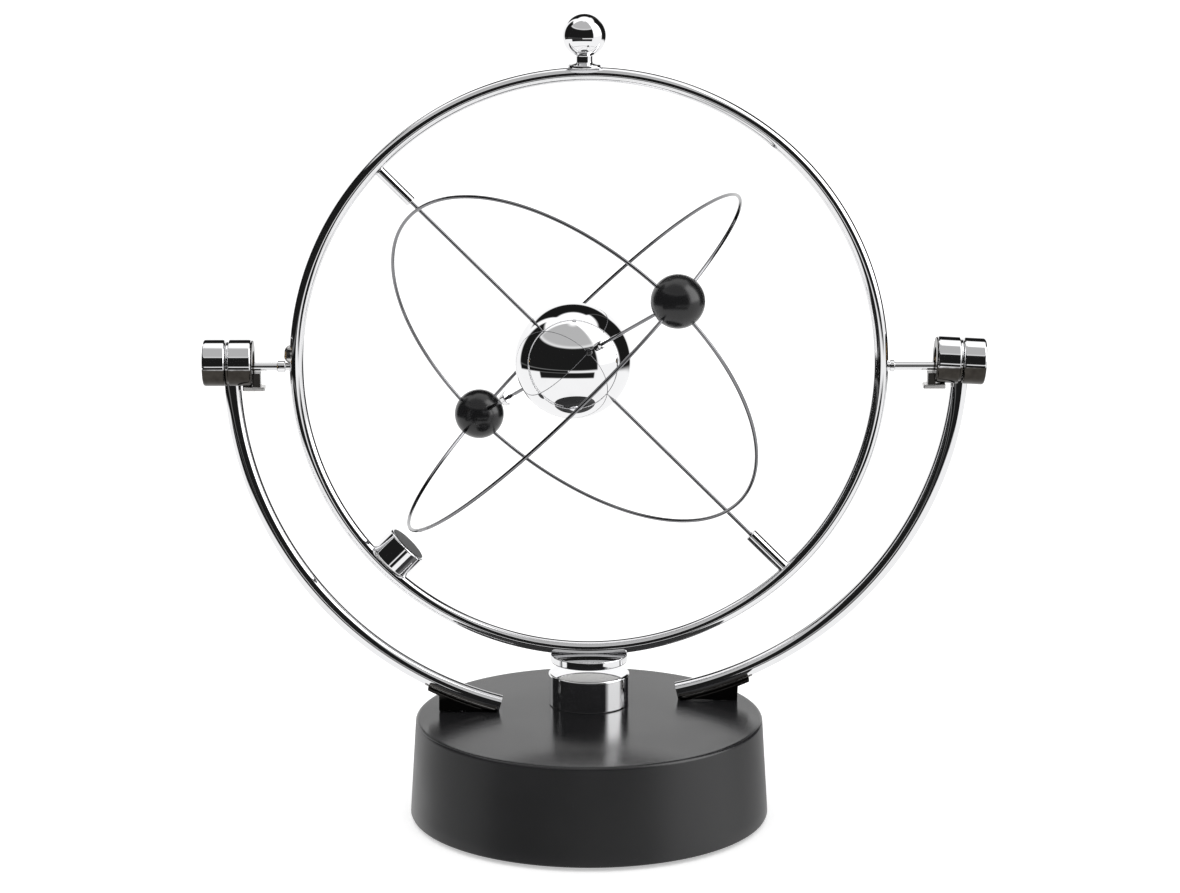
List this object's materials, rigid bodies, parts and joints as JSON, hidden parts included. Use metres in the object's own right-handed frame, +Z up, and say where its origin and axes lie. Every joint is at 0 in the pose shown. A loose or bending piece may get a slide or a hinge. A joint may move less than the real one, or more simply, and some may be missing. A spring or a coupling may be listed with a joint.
{
  "type": "electromagnetic orbital desk toy",
  "caption": "Desk toy: a ring swings between two curved arms over a coil in a round base, and inside it a sphere with wire orbits and balls spins on a slanted axle.",
  "frame": {"origin": "on the floor under the middle of the bounding box, which is 1.45 mm right of the ring's centre because the right arm leans out", "axes": "+X along the ring's pivot pins, +Z up, -Y towards the front, where the base reaches further out"},
  "size_m": [0.2111, 0.1244, 0.2175],
  "materials": {
    "black_plastic": "moulded, satin",
    "chrome": "polished chrome plate",
    "ball_black": "smooth, semi-gloss",
    "rubber": "soft matte",
    "steel": "plain steel",
    "nickel": "nickel plate",
    "copper": "enamelled copper wire",
    "bronze": "sintered bronze",
    "board": "solder mask",
    "cell_jacket": "plastic sleeve",
    "bobbin": "moulded"
  },
  "bodies": {
    "stand": {"base_shell": "black_plastic", "base_plate": "black_plastic", "rubber_foot_1": "rubber", "rubber_foot_2": "rubber", "rubber_foot_3": "rubber", "rubber_foot_4": "rubber", "base_screw_1": "steel", "base_screw_2": "steel", "base_screw_3": "steel", "battery_tray": "black_plastic", "contact_plate_front": "nickel", "contact_plate_rear": "nickel", "battery_cell_1": "cell_jacket", "battery_cell_2": "cell_jacket", "battery_cell_3": "cell_jacket", "battery_cell_4": "cell_jacket", "circuit_board": "board", "transistor": "black_plastic", "switch_body": "steel", "coil_housing": "chrome", "coil_bobbin": "bobbin", "coil_winding": "copper", "coil_core": "steel", "arm_left": "chrome", "arm_right": "chrome", "arm_screw_left": "steel", "arm_screw_right": "steel", "bearing_cap_left": "chrome", "bearing_cap_right": "chrome", "bearing_bush_left": "bronze", "bearing_bush_right": "bronze"},
    "ring": {"outer_ring": "chrome", "pivot_pin_left": "chrome", "pivot_pin_right": "chrome", "finial_neck": "chrome", "finial_ball": "chrome", "magnet_holder": "chrome", "drive_magnet": "nickel", "side_magnet_housing": "chrome", "side_magnet": "nickel", "axle_sleeve_upper": "chrome", "axle_sleeve_lower": "chrome"},
    "rotor": {"axle": "steel", "rotor_hub": "steel", "sphere_upper": "chrome", "sphere_lower": "chrome", "cross_rod_near": "chrome", "cross_rod_far": "chrome", "ferrule_near": "chrome", "ferrule_far": "chrome", "ball_near": "ball_black", "ball_far": "ball_black", "ball_magnet_near": "nickel", "ball_magnet_far": "nickel", "orbit_meridian_upper": "chrome", "orbit_meridian_lower": "chrome", "orbit_equator_front": "chrome", "orbit_equator_rear": "chrome"},
    "door": {"battery_door": "black_plastic"},
    "switch": {"switch_knob": "black_plastic"}
  },
  "joints": [
    {"name": "ring_swing", "type": "hinge", "parent": "stand", "child": "ring", "pos_m": [-0.00145, 0, 0.1225], "axis": [1, 0, 0], "range_deg": [-160, 160]},
    {"name": "rotor_spin", "type": "hinge", "parent": "ring", "child": "rotor", "pos_m": [-0.00569, 0, 0.12406], "axis": [0.7071, 0, -0.7071], "continuous": true},
    {"name": "battery_door_hinge", "type": "hinge", "parent": "stand", "child": "door", "pos_m": [-0.00145, 0.0138, 0.0022], "axis": [1, 0, 0], "range_deg": [0, 100]},
    {"name": "switch_slide", "type": "slide", "parent": "stand", "child": "switch", "axis": [1, 0, 0], "range_m": [0, 0.004]}
  ]
}
